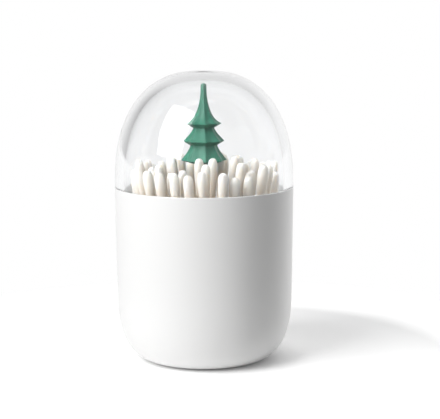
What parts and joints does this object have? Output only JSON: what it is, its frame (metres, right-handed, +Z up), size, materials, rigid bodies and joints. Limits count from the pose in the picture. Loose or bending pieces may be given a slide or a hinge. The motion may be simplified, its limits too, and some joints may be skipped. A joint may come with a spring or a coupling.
{
  "type": "cotton swab holder",
  "caption": "Round white cup full of cotton swabs, with a green pine tree standing in the middle of them, under a thick clear dome that lifts straight off.",
  "frame": {"origin": "middle of the flat that the cup stands on", "axes": "+Z up along the turned axis of the cup and the dome, -Y towards the viewer of the picture, +X to the viewer's right"},
  "size_m": [0.07, 0.07, 0.114],
  "materials": {
    "cup_white": "smooth satin white",
    "dome_clear": "polished, clear",
    "tree_green": "satin, moulded",
    "post_white": "satin",
    "cotton": "soft wound cotton on a smooth paper stick"
  },
  "bodies": {
    "holder": {"cup": "cup_white", "tree_post": "post_white", "tree": "tree_green", "swab_01": "cotton", "swab_02": "cotton", "swab_03": "cotton", "swab_04": "cotton", "swab_05": "cotton", "swab_06": "cotton", "swab_07": "cotton", "swab_08": "cotton", "swab_09": "cotton", "swab_10": "cotton", "swab_11": "cotton", "swab_12": "cotton", "swab_13": "cotton", "swab_14": "cotton", "swab_15": "cotton", "swab_16": "cotton", "swab_17": "cotton", "swab_18": "cotton", "swab_19": "cotton", "swab_20": "cotton", "swab_21": "cotton", "swab_22": "cotton", "swab_23": "cotton", "swab_24": "cotton", "swab_25": "cotton", "swab_26": "cotton", "swab_27": "cotton", "swab_28": "cotton", "swab_29": "cotton", "swab_30": "cotton", "swab_31": "cotton", "swab_32": "cotton", "swab_33": "cotton", "swab_34": "cotton", "swab_35": "cotton", "swab_36": "cotton", "swab_37": "cotton", "swab_38": "cotton", "swab_39": "cotton", "swab_40": "cotton", "swab_41": "cotton", "swab_42": "cotton", "swab_43": "cotton", "swab_44": "cotton", "swab_45": "cotton", "swab_46": "cotton", "swab_47": "cotton", "swab_48": "cotton", "swab_49": "cotton", "swab_50": "cotton", "swab_51": "cotton", "swab_52": "cotton", "swab_53": "cotton", "swab_54": "cotton"},
    "lid": {"dome": "dome_clear"}
  },
  "joints": [
    {"name": "dome_lift", "type": "slide", "parent": "holder", "child": "lid", "axis": [0, 0, 1], "range_m": [0, 0.055]}
  ]
}
